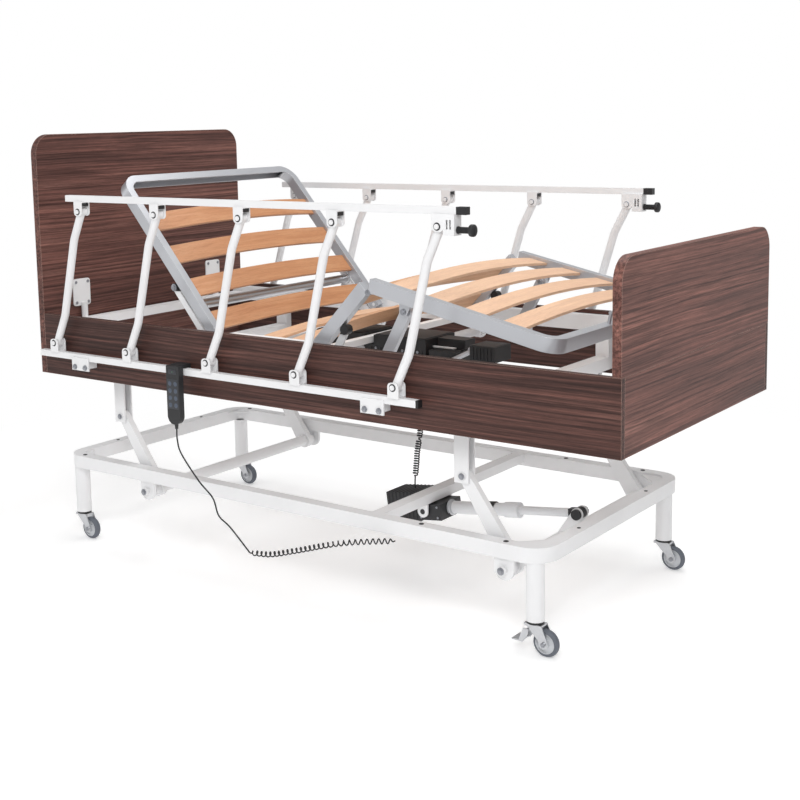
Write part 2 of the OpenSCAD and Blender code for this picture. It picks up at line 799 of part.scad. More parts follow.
// Closed end of the foot-end bracket, bored for the latch pin.
module latch_bracket() {
  z = post_foot[1] + post_rise[1];
  x = post_x(5) + post_rise[0];
  difference() {
    union() {
      for (y = [-rail_y - 17, -rail_y + 14])
        box(x + 18, x + 52, y, y + 3, z - 22, rail_top_z[0] + 2);
      box(x + 46, x + 52, -rail_y - 17, -rail_y + 17, z - 22, rail_top_z[0] + 2);
      box(x + 17, x + 52, -rail_y - 17, -rail_y + 17, rail_top_z[0] - 3,
          rail_top_z[0] + 1);
    }
    bar_x(x + 40, x + 60, -rail_y, z - 8, 6 + run);
    for (dx = [27, 37]) box(x + dx, x + dx + 5, -rail_y - 20, -rail_y + 20, z - 6, z + 18);
  }
}

// Moves a top rail part from the right side's lean to the left side's.
module left_shift() {
  mirror([0, 1, 0])
    translate([left_rise[0] - post_rise[0], 0, left_rise[1] - post_rise[1]]) children();
}

module top_rail_right() color(WHITE) top_rail();

module top_rail_left() color(WHITE) left_shift() top_rail();

module latch_pin() {
  z = post_foot[1] + post_rise[1] - 8;
  x = post_x(5) + post_rise[0];
  bar_x(x + 20, x + 66, -rail_y, z, 6);
  bar_x(x + 52.5, x + 56, -rail_y, z, 10);
  bar_x(x + 55, x + 91, -rail_y, z, 8.5);
  bar_x(x + 90, x + 102, -rail_y, z, 16);
  bar_x(x + 101, x + 105, -rail_y, z, 12);
}

module latch_pin_right() color(BLACK) latch_pin();

module latch_pin_left() color(BLACK) left_shift() latch_pin();

// ---------- handset ----------

module handset() color(BLACK) {
  mid = (handset_x[0] + handset_x[1]) / 2;
  width = handset_x[1] - handset_x[0];
  difference() {
    plate_xz(handset_face, handset_face + 19) {
      translate([handset_x[0], handset_z[0] + width / 2])
        square([width, handset_z[1] - handset_z[0] - width / 2]);
      translate([mid, handset_z[0] + width / 2]) circle(r = width / 2);
    }
    for (x = button_cols, z = button_rows)
      bar_y(x, z, handset_face - 1, handset_face + 5, button_r + 0.2);
  }
  box(handset_x[0] + 3, handset_x[1] - 3, handset_face + 18, -rail_y + 21,
      rail_low_z[1] + 0.5, rail_low_z[1] + 12);
  box(handset_x[0] + 3, handset_x[1] - 3, -rail_y + 16, -rail_y + 21,
      rail_low_z[0] + 6, rail_low_z[1] + 12);
  translate([mid, handset_face + 9.5, handset_z[0] - 14]) cylinder(r = 5, h = 18);
}

// Push button number n, counted across the rows from the top.
module button(n) color("#3a3d42") {
  z = button_rows[floor((n - 1) / 2)];
  x = button_cols[(n - 1) % 2];
  bar_y(x, z, handset_face - 1.8, handset_face + 3.2, button_r);
}

// Hanging cord, drawn as straight lengths with round joints.
cord_path = [[-379.5, -540.5, 485], [-362, -542, 410], [-292, -544, 338],
             [-234, -546, 294], [-212, -546, 244], [-168, -544, 214],
             [-98, -540, 142], [70, -530, 184], [224, -512, 232],
             [352, -430, 238]];

module handset_cord() color(BLACK)
  for (i = [0:len(cord_path) - 2]) {
    step = cord_path[i + 1] - cord_path[i];
    radius = (i < 6 ? 2.5 : 6.5) + 0.3 * (i % 2);
    translate(cord_path[i])
      rotate([0, acos(step[2] / norm(step)), atan2(step[1], step[0])])
        cylinder(r = radius, h = norm(step) + 1.5);
  }

base_frame();
head_lift_arms();
foot_lift_arms();
lift_actuator();
lift_actuator_rod();
caster_fork(leg_x[1], -leg_pitch_y / 2);  // caster_fork_foot_right
caster_fork(leg_x[1], leg_pitch_y / 2);  // caster_fork_foot_left
caster_fork(leg_x[0], -leg_pitch_y / 2);  // caster_fork_head_right
caster_fork(leg_x[0], leg_pitch_y / 2);  // caster_fork_head_left
caster_wheel(leg_x[1], -leg_pitch_y / 2);  // caster_wheel_foot_right
caster_wheel(leg_x[1], leg_pitch_y / 2);  // caster_wheel_foot_left
caster_wheel(leg_x[0], -leg_pitch_y / 2);  // caster_wheel_head_right
caster_wheel(leg_x[0], leg_pitch_y / 2);  // caster_wheel_head_left
brake_pedal();
deck_frame();
head_board();
foot_board();
foot_apron();
side_panel_right();
side_panel_left();
board_mount_plates();
seat_slats();
twin_drive();
control_box();
drive_stay();
side_rail_base_right();
side_rail_base_left();
handset();
handset_cord();
backrest_frame();
backrest_slats();
thigh_frame();
thigh_slats();
leg_frame();
leg_slats();
leg_support_links();
back_lift_lever();
knee_lift_lever();
right_post(1);  // right_post_1
right_post(2);  // right_post_2
right_post(3);  // right_post_3
right_post(4);  // right_post_4
right_post(5);  // right_post_5
left_post(1);  // left_post_1
left_post(2);  // left_post_2
left_post(3);  // left_post_3
left_post(4);  // left_post_4
left_post(5);  // left_post_5
top_rail_right();
top_rail_left();
latch_pin_right();
latch_pin_left();
button(1);  // button_1
button(2);  // button_2
button(3);  // button_3
button(4);  // button_4
button(5);  // button_5
button(6);  // button_6
button(7);  // button_7
button(8);  // button_8
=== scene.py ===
import json
import math

import bmesh
import bpy
from mathutils import Matrix, Vector


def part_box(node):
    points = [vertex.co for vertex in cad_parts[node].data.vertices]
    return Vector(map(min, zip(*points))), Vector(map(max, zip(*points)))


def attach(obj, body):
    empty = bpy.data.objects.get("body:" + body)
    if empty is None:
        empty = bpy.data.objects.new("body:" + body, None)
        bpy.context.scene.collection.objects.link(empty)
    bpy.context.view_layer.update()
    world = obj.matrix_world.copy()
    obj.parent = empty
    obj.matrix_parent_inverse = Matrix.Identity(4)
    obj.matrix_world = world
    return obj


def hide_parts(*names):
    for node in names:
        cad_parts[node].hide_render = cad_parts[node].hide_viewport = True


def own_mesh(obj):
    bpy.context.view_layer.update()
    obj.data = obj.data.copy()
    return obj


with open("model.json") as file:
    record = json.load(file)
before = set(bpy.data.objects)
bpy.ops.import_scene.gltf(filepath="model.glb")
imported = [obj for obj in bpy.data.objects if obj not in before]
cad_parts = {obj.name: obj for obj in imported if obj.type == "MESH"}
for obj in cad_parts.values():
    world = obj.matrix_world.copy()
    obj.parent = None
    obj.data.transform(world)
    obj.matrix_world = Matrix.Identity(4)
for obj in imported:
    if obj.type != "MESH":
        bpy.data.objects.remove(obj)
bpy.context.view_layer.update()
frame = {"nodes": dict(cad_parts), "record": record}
NODES = frame["nodes"]
MM = 0.001
JOINTS = {j["name"]: j for j in frame["record"]["behaviour"]["joints"]}
TAIL = JOINTS["lift_motor_tilt"]["pos_m"]
AXIS = Vector(JOINTS["lift_rod_slide"]["axis"]).normalized()
CORNERS = ("foot_right", "foot_left", "head_right", "head_left")
POSTS = range(1, 6)
KEYS = range(1, 9)
AMBIENT = 0.42      # what the white surroundings give to everything but the camera
FLOOR_GLOW = 0.30   # keeps the floor near the bed almost white


def metric_box(node):
    """A CAD node's lowest and highest corner, in metres."""
    return [Vector(corner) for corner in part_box(node)]


def centreline(joint):
    """A joint's place, moved to the bed's centre plane."""
    x, _, z = JOINTS[joint]["pos_m"]
    return Vector((x, 0, z))


# ---------- node-tree helpers ----------

class Tree:
    """Builds a shader tree: each call adds a node and returns its first output."""

    def __init__(self, name):
        self.mat = bpy.data.materials.new(name)
        self.mat.use_nodes = True
        self.nt = self.mat.node_tree
        self.nt.nodes.clear()
        self.out = self.nt.nodes.new("ShaderNodeOutputMaterial")
        self.bsdf = self.nt.nodes.new("ShaderNodeBsdfPrincipled")
        self.nt.links.new(self.bsdf.outputs[0], self.out.inputs[0])

    def put(self, socket, value):
        """Links a socket, or sets its default to a number, a vector or a colour."""
        if isinstance(value, bpy.types.NodeSocket):
            self.nt.links.new(value, socket)
        elif hasattr(socket.default_value, "__len__") and not hasattr(value, "__len__"):
            socket.default_value = [value] * len(socket.default_value)
        elif hasattr(value, "__len__") and len(socket.default_value) == 4:
            socket.default_value = list(value) + [1.0] * (4 - len(value))
        else:
            socket.default_value = value

    def node(self, kind, inputs=(), out=0, **props):
        n = self.nt.nodes.new(kind)
        for key, value in props.items():
            setattr(n, key, value)
        for key, value in dict(inputs).items():
            self.put(n.inputs[key], value)
        return n.outputs[out]

    def coords(self, scale=(1, 1, 1), rotate=(0, 0, 0), move=(0, 0, 0)):
        source = self.node("ShaderNodeTexCoord", out=3)
        return self.node("ShaderNodeMapping", {0: source, 1: move, 2: rotate, 3: scale})

    def scaled(self, vector, x, y, z):
        return self.node("ShaderNodeMapping", {0: vector, 3: (x, y, z)})

    def noise(self, vector, scale, detail=4.0, rough=0.55, distortion=0.0):
        return self.node("ShaderNodeTexNoise", {"Vector": vector, "Scale": scale,
                         "Detail": detail, "Roughness": rough, "Distortion": distortion})

    def ramp(self, value, stops):
        n = self.nt.nodes.new("ShaderNodeValToRGB")
        self.nt.links.new(value, n.inputs[0])
        while len(n.color_ramp.elements) < len(stops):
            n.color_ramp.elements.new(0.5)
        for element, (pos, colour) in zip(n.color_ramp.elements, stops):
            element.position = pos
            element.color = list(colour) + [1.0]
        return n.outputs[0]

    def mix(self, factor, a, b, blend="MIX"):
        n = self.nt.nodes.new("ShaderNodeMix")
        n.data_type = "RGBA"
        n.blend_type = blend
        self.put(n.inputs[0], factor)
        self.put(n.inputs[6], a)
        self.put(n.inputs[7], b)
        return n.outputs[2]

    def math(self, op, a, b=0.0, clamp=False):
        return self.node("ShaderNodeMath", {0: a, 1: b}, operation=op, use_clamp=clamp)

    def bump(self, height, strength, distance, normal):
        return self.node("ShaderNodeBump", {"Height": height, "Strength": strength,
                         "Distance": distance, "Normal": normal})

    def round_edges(self, radius):
        return self.node("ShaderNodeBevel", {"Radius": radius}, samples=4)

    def set(self, **values):
        """Sets the surface's inputs, with _ for a space, and returns the material."""
        for key, value in values.items():
            self.put(self.bsdf.inputs[key.replace("_", " ")], value)
        return self.mat


def srgb(r, g, b):
    """An sRGB colour (0..255) as the linear values that shaders take."""
    def one(v):
        v /= 255.0
        return v / 12.92 if v <= 0.04045 else ((v + 0.055) / 1.055) ** 2.4
    return (one(r), one(g), one(b))


# This edge mask carries real wear on some finishes and painted highlights on the walnut and the
# silver paint.
def edge_wear_and_highlight(tree, radius):
    """0 on flat faces, rising to 1 on the object's sharp edges."""
    hard = tree.node("ShaderNodeNewGeometry", out=1)
    dot = tree.node("ShaderNodeVectorMath", {0: tree.round_edges(radius), 1: hard}, out=1,
                    operation="DOT_PRODUCT")
    return tree.math("MULTIPLY", tree.math("SUBTRACT", 1.0, dot), 3.0, clamp=True)


# ---------- materials ----------

def walnut(name, along, brightness=1.0, seed=0.0):
    """Printed walnut laminate. along: the axis the grain runs on (0 = X, 1 = Y)."""
    t = Tree(name)
    turn = (0, 0, 0) if along == 0 else (0, 0, math.pi / 2)
    board = t.coords(rotate=turn, move=(seed, seed * 0.37, seed * 0.71))
    sway = t.node("ShaderNodeTexNoise", {"Vector": t.scaled(board, 1.4, 3.0, 3.0),
                  "Scale": 1.0, "Detail": 2.0}, out=1)
    waved = t.mix(0.022, board, sway, "ADD")
    bands = t.noise(t.scaled(waved, 0.4, 9.0, 9.0), 1.9, 5.0, 0.6, 0.2)
    lines = t.noise(t.scaled(waved, 0.7, 84.0, 84.0), 1.8, 5.0, 0.62)
    rings_at = t.scaled(waved, 0.35, 13.0, 13.0)
    rings = t.node("ShaderNodeTexWave", {"Vector": rings_at, "Scale": 1.6, "Distortion": 5.0,
                   "Detail": 3.0, "Detail Scale": 1.1, "Detail Roughness": 0.6},
                   wave_type="BANDS", bands_direction="Z")
    fibre = t.noise(t.scaled(board, 6.0, 260.0, 260.0), 2.0, 5.0, 0.7)
    pore = t.noise(t.scaled(board, 26.0, 640.0, 640.0), 1.4, 3.0, 0.6)
    browns = [(0.28, (78, 52, 47)), (0.44, (94, 63, 57)),
              (0.56, (107, 73, 66)), (0.76, (132, 95, 86))]
    # brightness scales the browns per board: painted light and shade on one laminate.
    base = t.ramp(bands, [(pos, srgb(*(c * brightness for c in brown))) for pos, brown in browns])
    streak = t.ramp(lines, [(0.37, (0.42, 0.39, 0.38)), (0.50, (0.98, 0.98, 0.98)),
                            (0.65, (1.62, 1.54, 1.49))])
    colour = t.mix(0.85, base, streak, "MULTIPLY")
    dark = t.ramp(rings, [(0.0, (0.42, 0.38, 0.37)), (0.24, (0.90, 0.89, 0.89)),
                          (1.0, (1.10, 1.08, 1.07))])
    colour = t.mix(0.42, colour, dark, "MULTIPLY")
    threads = t.ramp(fibre, [(0.36, (0.55, 0.53, 0.52)), (0.55, (1, 1, 1)),
                             (0.78, (1.25, 1.22, 1.20))])
    colour = t.mix(0.8, colour, threads, "MULTIPLY")
    pores = t.ramp(pore, [(0.33, (0.46, 0.43, 0.42)), (0.44, (1, 1, 1))])
    colour = t.mix(0.5, colour, pores, "MULTIPLY")
    # Painted highlight: a pale line along the board edges, where the rounded edge catches the
    # light.
    colour = t.mix(t.math("MULTIPLY", edge_wear_and_highlight(t, 0.0028), 0.7), colour, srgb(196, 164, 150))
    height = t.math("ADD", t.math("MULTIPLY", fibre, 0.6), t.math("MULTIPLY", pore, 0.4))
    rough = t.math("ADD", 0.44, t.math("MULTIPLY", bands, 0.16))
    normal = t.bump(height, 0.22, 0.0006, t.round_edges(0.002))
    return t.set(Base_Color=colour, Roughness=rough, Normal=normal, IOR=1.45,
                 Specular_IOR_Level=0.3)


def beyond(t, limits):
    """1 where every (axis, value) limit is passed in the object's rest frame, else 0."""
    xyz = t.nt.nodes.new("ShaderNodeSeparateXYZ")
    t.nt.links.new(t.node("ShaderNodeTexCoord", out=3), xyz.inputs[0])
    mask = 1.0
    for axis, value in limits:
        mask = t.math("MULTIPLY", t.math("GREATER_THAN", xyz.outputs[axis], value), mask)
    return mask


def powder(name, colour, black_past=None):
    """Powder-coated steel with a fine orange-peel surface; black_past marks a moulded end cap."""
    edge = 0.0012
    t = Tree(name)
    where = t.coords()
    peel = t.noise(where, 900.0, 2.0, 0.5)
    cloud = t.noise(where, 6.0, 4.0, 0.6)
    shade = t.ramp(cloud, [(0.3, (0.95, 0.95, 0.95)), (0.7, (1, 1, 1))])
    tint = t.mix(1.0, colour, shade, "MULTIPLY")
    worn = t.mix(t.math("MULTIPLY", edge_wear_and_highlight(t, edge), 0.10), tint, srgb(188, 188, 190))
    if black_past:
        worn = t.mix(beyond(t, black_past), worn, srgb(26, 26, 28))
    roughness = t.math("ADD", 0.38, t.math("MULTIPLY", cloud, 0.10))
    normal = t.bump(peel, 0.10, 0.0003, t.round_edges(edge))
    return t.set(Base_Color=worn, Roughness=roughness, Normal=normal)


def silver(name):
    """Silver-grey metallic paint: flakes under a clear coat."""
    t = Tree(name)
    where = t.coords()
    flake = t.noise(where, 2600.0, 2.0, 0.6)
    cloud = t.noise(where, 9.0, 4.0, 0.6)
    colour = t.mix(t.math("MULTIPLY", flake, 0.5), srgb(172, 174, 179), srgb(226, 227, 231))
    colour = t.mix(t.math("MULTIPLY", cloud, 0.25), colour, srgb(196, 197, 202))
    # Painted highlight: near-white edges, for the bright line along a tube's edge.
    colour = t.mix(t.math("MULTIPLY", edge_wear_and_highlight(t, 0.0020), 0.5), colour, srgb(246, 246, 248))
    rough = t.math("ADD", 0.27, t.math("MULTIPLY", cloud, 0.12))
    normal = t.bump(flake, 0.06, 0.0002, t.round_edges(0.0018))
    return t.set(Base_Color=colour, Metallic=0.55, Roughness=rough, Normal=normal, Coat_Weight=0.25)


def plated(name, colour=(0.62, 0.63, 0.65), rough=0.26):
    """Zinc-plated steel with faint spangle and handling marks."""
    t = Tree(name)
    where = t.coords()
    spangle = t.noise(where, 160.0, 3.0, 0.6)
    marks = t.noise(t.coords(scale=(300, 40, 300)), 3.0, 3.0, 0.6)
    tint = t.mix(t.math("MULTIPLY", spangle, 0.35), colour, tuple(c * 0.6 for c in colour))
    roughness = t.math("ADD", rough, t.math("MULTIPLY", spangle, 0.22))
    normal = t.bump(marks, 0.10, 0.0002, t.round_edges(0.0006))
    return t.set(Base_Color=tint, Metallic=1.0, Roughness=roughness, Normal=normal)


def moulded(name, colour, rough=0.5, grain=1500.0, edge=0.0012):
    """Moulded plastic with a spark-eroded grain."""
    t = Tree(name)
    where = t.coords()
    texture = t.noise(where, grain, 2.0, 0.6)
    cloud = t.noise(where, 14.0, 3.0, 0.5)
    cloudy = tuple(min(1.0, c * 1.5 + 0.004) for c in colour)
    rubbed = tuple(min(1.0, c * 2.2 + 0.03) for c in colour)
    tint = t.mix(t.math("MULTIPLY", cloud, 0.4), colour, cloudy)
    tint = t.mix(t.math("MULTIPLY", edge_wear_and_highlight(t, edge), 0.30), tint, rubbed)
    roughness = t.math("ADD", rough, t.math("MULTIPLY", texture, 0.12))
    normal = t.bump(texture, 0.25, 0.0002, t.round_edges(edge))
    return t.set(Base_Color=tint, Roughness=roughness, Normal=normal)


def beech(name, tilt, hinge_x, hinge_z, light):
    """Steam-bent beech plywood, grain along Y; the section's tilt lines the layers up.

    light mixes in a pale beech when it is positive, as painted light, and a dark one when it is
    negative, as painted shade: lit and shaded copies of one beech.
    """
    t = Tree(name)
    shifted = t.coords(move=(-hinge_x, 0.0, -hinge_z))
    local = t.node("ShaderNodeMapping", {0: shifted, 2: (0.0, -tilt, 0.0)})
    grain = t.noise(t.scaled(local, 26.0, 1.3, 26.0), 2.4, 7.0, 0.62, 0.7)
    fleck = t.noise(t.scaled(local, 700.0, 60.0, 700.0), 1.2, 2.0, 0.5)
    fibre = t.noise(t.scaled(local, 330.0, 5.0, 330.0), 1.5, 4.0, 0.65)
    broad = t.noise(t.scaled(local, 7.0, 0.8, 7.0), 1.8, 2.0, 0.5)
    base = t.ramp(grain, [(0.32, srgb(188, 128, 84)), (0.5, srgb(212, 154, 108)),
                          (0.68, srgb(228, 178, 134))])
    base = t.mix(t.math("MULTIPLY", broad, 0.5), base, srgb(220, 164, 118))
    base = t.mix(abs(light), base, srgb(240, 214, 190) if light >= 0 else srgb(150, 92, 56))
    lines = t.ramp(fibre, [(0.36, (0.80, 0.76, 0.72)), (0.55, (1, 1, 1))])
    colour = t.mix(0.6, base, lines, "MULTIPLY")
    flecks = t.ramp(fleck, [(0.30, (0.62, 0.52, 0.45)), (0.38, (1, 1, 1))])
    colour = t.mix(0.45, colour, flecks, "MULTIPLY")
    colour = t.mix(t.math("MULTIPLY", edge_wear_and_highlight(t, 0.0016), 0.4), colour, srgb(240, 210, 178))
    height = t.math("ADD", t.math("MULTIPLY", fibre, 0.7), t.math("MULTIPLY", fleck, 0.3))
    normal = t.bump(height, 0.2, 0.0004, t.round_edges(0.0016))
    rough = t.math("ADD", 0.38, t.math("MULTIPLY", grain, 0.14))
    return t.set(Base_Color=colour, Roughness=rough, Normal=normal, IOR=1.48)


COAT = srgb(233, 233, 234)
WHITE = powder("white_powder_coat", COAT)
SILVER = silver("silver_paint")
ZINC = plated("zinc_plate")
# Painted shade: the bolt steel is a darker copy of the zinc plate, for the dark rims round the bolt
# heads.
BOLT = plated("bolt_steel_painted_shade", (0.36, 0.37, 0.40), 0.3)
BLACK = moulded("black_plastic", srgb(30, 30, 32), 0.46)
CABLE = moulded("cable_sheath", srgb(24, 24, 26), 0.38, 700.0, 0.0004)
KEY = moulded("key_plastic", srgb(70, 78, 92), 0.5, 1800.0, 0.0006)
GREY = moulded("grey_plastic", srgb(168, 170, 174), 0.45)


HUB_RADIUS = 0.0278


def wheel_material(name, node):
    """Dark tread and shoulder, pale moulded hub: split by radius about the wheel's own axle."""
    lo, hi = metric_box(node)
    centre = (lo + hi) / 2
    t = Tree(name)
    local = t.coords(move=tuple(-centre))
    flat = t.scaled(local, 1.0, 0.0, 1.0)
    radius = t.node("ShaderNodeVectorMath", {0: flat}, out=1, operation="LENGTH")
    tyre = t.math("GREATER_THAN", radius, HUB_RADIUS)
    dust = t.noise(t.coords(), 220.0, 4.0, 0.65)
    rubber = t.mix(t.math("MULTIPLY", dust, 0.5), srgb(86, 91, 100), srgb(118, 122, 130))
    hub = t.mix(t.math("MULTIPLY", dust, 0.35), srgb(214, 216, 219), srgb(178, 181, 186))
    rough = t.math("ADD", t.math("MULTIPLY", tyre, 0.25), 0.38)
    normal = t.bump(dust, 0.15, 0.0003, t.round_edges(0.0010))
    return t.set(Base_Color=t.mix(tyre, hub, rubber), Roughness=rough, Normal=normal)


def actuator_material(name, spans):
    """Black mouldings with a pale tube between two distances along the drive's own axis."""
    body, tube = srgb(30, 30, 32), srgb(226, 227, 229)
    t = Tree(name)
    local = t.coords(move=(-TAIL[0], -TAIL[1], -TAIL[2]))
    along = t.node("ShaderNodeVectorMath", {0: local, 1: tuple(AXIS)}, out=1,
                   operation="DOT_PRODUCT")
    inside = t.math("MULTIPLY", t.math("GREATER_THAN", along, spans[0]),
                    t.math("LESS_THAN", along, spans[1]))
    grain = t.noise(t.coords(), 1300.0, 2.0, 0.6)
    cloud = t.noise(t.coords(), 18.0, 3.0, 0.5)
    dark = t.mix(t.math("MULTIPLY", cloud, 0.4), body, tuple(c * 1.7 for c in body))
    dark = t.mix(t.math("MULTIPLY", edge_wear_and_highlight(t, 0.0012), 0.35), dark, srgb(96, 96, 100))
    pale = t.mix(t.math("MULTIPLY", cloud, 0.3), tube, srgb(206, 207, 210))
    normal = t.bump(grain, 0.2, 0.0002, t.round_edges(0.0012))
    rough = t.math("SUBTRACT", 0.46, t.math("MULTIPLY", inside, 0.14))
    return t.set(Base_Color=t.mix(inside, dark, pale), Roughness=rough, Normal=normal)


# ---------- mesh helpers ----------

def piece(name, verts, faces, material, body, slot):
    """A new mesh piece that rides on a CAD body, in the given material; slot is not used."""
    mesh = bpy.data.meshes.new(name)
    mesh.from_pydata([tuple(v) for v in verts], [], faces)
    mesh.validate()
    bm = bmesh.new()
    bm.from_mesh(mesh)
    bmesh.ops.recalc_face_normals(bm, faces=bm.faces)
    bm.to_mesh(mesh)
    bm.free()
    for polygon in mesh.polygons:
        polygon.use_smooth = True
    mesh.materials.append(material)
    o = bpy.data.objects.new(name, mesh)
    bpy.context.scene.collection.objects.link(o)
    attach(o, body)
    return o


def frame_of(axis):
    """Two unit vectors square to axis."""
    axis = Vector(axis).normalized()
    side = Vector((0, 0, 1)) if abs(axis.z) < 0.9 else Vector((1, 0, 0))
    u = axis.cross(side).normalized()
    return axis, u, axis.cross(u).normalized()


def lathe(profile, origin, axis, n=32):
    """Verts and faces of (distance along axis, radius) pairs, in mm, turned about the axis."""
    axis, u, v = frame_of(axis)
    origin = Vector(origin)
    verts, faces = [], []
    for h, r in profile:
        for k in range(n):
            a = 2 * math.pi * k / n
            verts.append(origin + axis * h * MM + (u * math.cos(a) + v * math.sin(a)) * r * MM)
    for j in range(len(profile) - 1):
        for k in range(n):
            m = (k + 1) % n
            faces.append((j * n + k, j * n + m, (j + 1) * n + m, (j + 1) * n + k))
    faces.append(tuple(range(n))[::-1])
    faces.append(tuple(range((len(profile) - 1) * n, len(profile) * n)))
    return verts, faces


def join(parts):
    """Several (verts, faces) pairs as one."""
    verts, faces = [], []
    for v, f in parts:
        base = len(verts)
        verts += v
        faces += [tuple(i + base for i in face) for face in f]
    return verts, faces


CREASE = math.radians(38.0)


def sharpen(o):
    """Keeps creases crisp on a smooth-shaded piece."""
    mesh = o.data
    bm = bmesh.new()
    bm.from_mesh(mesh)
    for edge in bm.edges:
        if len(edge.link_faces) == 2 and edge.calc_face_angle(0.0) > CREASE:
            edge.smooth = False
    bm.to_mesh(mesh)
    bm.free()
    return o


def fitting(name, parts, material, body, slot):
    """A crisp piece made of several closed shapes."""
    verts, faces = join(parts)
    return sharpen(piece(name, verts, faces, material, body, slot))


def sweep(points, radius, n):
    """Tube along a path, its rings carried without twist."""
    points = [Vector(q) for q in points]
    tangents = []
    for i in range(len(points)):
        d = points[min(i + 1, len(points) - 1)] - points[max(i - 1, 0)]
        tangents.append(d.normalized())
    normal = frame_of(tangents[0])[1]
    verts, faces = [], []
    for i, (q, t) in enumerate(zip(points, tangents)):
        normal = (normal - t * normal.dot(t)).normalized()
        other = t.cross(normal)
        for k in range(n):
            a = 2 * math.pi * k / n
            verts.append(q + (normal * math.cos(a) + other * math.sin(a)) * radius)
    for i in range(len(points) - 1):
        for k in range(n):
            m = (k + 1) % n
            faces.append((i * n + k, i * n + m, (i + 1) * n + m, (i + 1) * n + k))
    faces.append(tuple(range(n))[::-1])
    faces.append(tuple(range((len(points) - 1) * n, len(points) * n)))
    return verts, faces


def spline(knots, per):
    """Catmull-Rom curve through knots given in millimetres."""
    k = [Vector(q) for q in knots]
    k = [2 * k[0] - k[1]] + k + [2 * k[-1] - k[-2]]
    out = []
    for i in range(1, len(k) - 2):
        for j in range(per):
            t = j / per
            out.append(0.5 * ((2 * k[i]) + (k[i + 1] - k[i - 1]) * t
                       + (2 * k[i - 1] - 5 * k[i] + 4 * k[i + 1] - k[i + 2]) * t * t
                       + (3 * k[i] - k[i - 1] - 3 * k[i + 1] + k[i + 2]) * t ** 3))
    out.append(k[-2])
    return [q * MM for q in out]


def rounded(knots, radius, per=9):
    """Polyline with its inner corners replaced by arcs."""
    k = [Vector(q) for q in knots]
    out = [k[0]]
    for i in range(1, len(k) - 1):
        a, b = (k[i - 1] - k[i]), (k[i + 1] - k[i])
        half = a.angle(b) / 2
        cut = min(radius / math.tan(half), a.length * 0.48, b.length * 0.48)
        p0, p1 = k[i] + a.normalized() * cut, k[i] + b.normalized() * cut
        for j in range(per + 1):
            t = j / per
            out.append(p0 * (1 - t) ** 2 + k[i] * 2 * t * (1 - t) + p1 * t * t)
    out.append(k[-1])
    return out


def coil(path, radius, pitch, steps=12):
    """Helix about a path, with its ends drawn in to the path."""
    path = [Vector(q) for q in path]
    length = [0.0]
    for a, b in zip(path, path[1:]):
        length.append(length[-1] + (b - a).length)
    total = length[-1]
    count = int(total / pitch * steps)
    out = []
    seg = 0
    normal = frame_of(path[1] - path[0])[1]
    for i in range(count + 1):
        d = total * i / count
        while seg < len(path) - 2 and length[seg + 1] < d:
            seg += 1
        span = path[seg + 1] - path[seg]
        t = span.normalized()
        q = path[seg] + t * (d - length[seg])
        normal = (normal - t * normal.dot(t)).normalized()
        a = 2 * math.pi * d / pitch
        r = radius * min(1.0, d / pitch, (total - d) / pitch)
        out.append(q + (normal * math.cos(a) + t.cross(normal) * math.sin(a)) * r)
    return out


def hex_head(origin, axis, across, height, washer):
    """Bolt head: a washer of the given radius, and a chamfered hexagon across its flats."""
    ax, u, v = frame_of(axis)
    o = Vector(origin)
    ring = lathe([(0, washer - 0.6), (0.2, washer), (1.2, washer), (1.5, washer - 0.5)],
                 origin, axis, 28)
    verts, faces = [], []
    r = across / math.sqrt(3)
    for h, f in [(1.4, 1.0), (height, 1.0), (height + 0.7, 0.86)]:
        for k in range(6):
            a = math.pi / 3 * k + 0.2
            verts.append(o + ax * h * MM + (u * math.cos(a) + v * math.sin(a)) * r * f * MM)
    for j in range(2):
        for k in range(6):
            m = (k + 1) % 6
            faces.append((j * 6 + k, j * 6 + m, (j + 1) * 6 + m, (j + 1) * 6 + k))
    faces.append(tuple(range(6))[::-1])
    faces.append(tuple(range(12, 18)))
    return join([ring, (verts, faces)])


def hex_pair(centre, y, across, height, washer):
    """Bolt heads y to either side of a point, facing outwards, or inwards when y is negative."""
    return [hex_head((centre[0], centre[1] + out * y, centre[2]), (0, out, 0), across, height,
                     washer) for out in (-1, 1)]


def socket_head(origin, axis, r, height):
    """Button-head bolt with a recess, and a thin washer under it."""
    profile = [(0, r + 1.6), (1.0, r + 1.6), (1.0, r), (height * 0.6, r), (height, r * 0.62),
               (height, r * 0.42), (height * 0.45, r * 0.40), (height * 0.45, 0.05)]
    return lathe(profile, origin, axis, 24)


def straight(x, y, z):
    """A point given in millimetres in the shared frame."""
    return Vector((x, y, z)) * MM


def block(x0, x1, y0, y1, z0, z1, r, place=straight):
    """Rounded box given by its corners in millimetres, placed by a point function."""
    bm = bmesh.new()
    bmesh.ops.create_cube(bm, size=1.0)
    for vert in bm.verts:
        vert.co = Vector(((x0 + x1) / 2 + vert.co.x * (x1 - x0),
                          (y0 + y1) / 2 + vert.co.y * (y1 - y0),
                          (z0 + z1) / 2 + vert.co.z * (z1 - z0)))
    bmesh.ops.bevel(bm, geom=list(bm.edges), offset=r, segments=4, profile=0.5, affect="EDGES")
    verts = [place(*vert.co) for vert in bm.verts]
    bm.verts.index_update()
    faces = [tuple(vert.index for vert in face.verts) for face in bm.faces]
    bm.free()
    return verts, faces


# ---------- finishes on the CAD nodes ----------

def paint(name, material):
    """Gives a CAD node its only material."""
    o = NODES[name]
    o.data.materials.clear()
    o.data.materials.append(material)


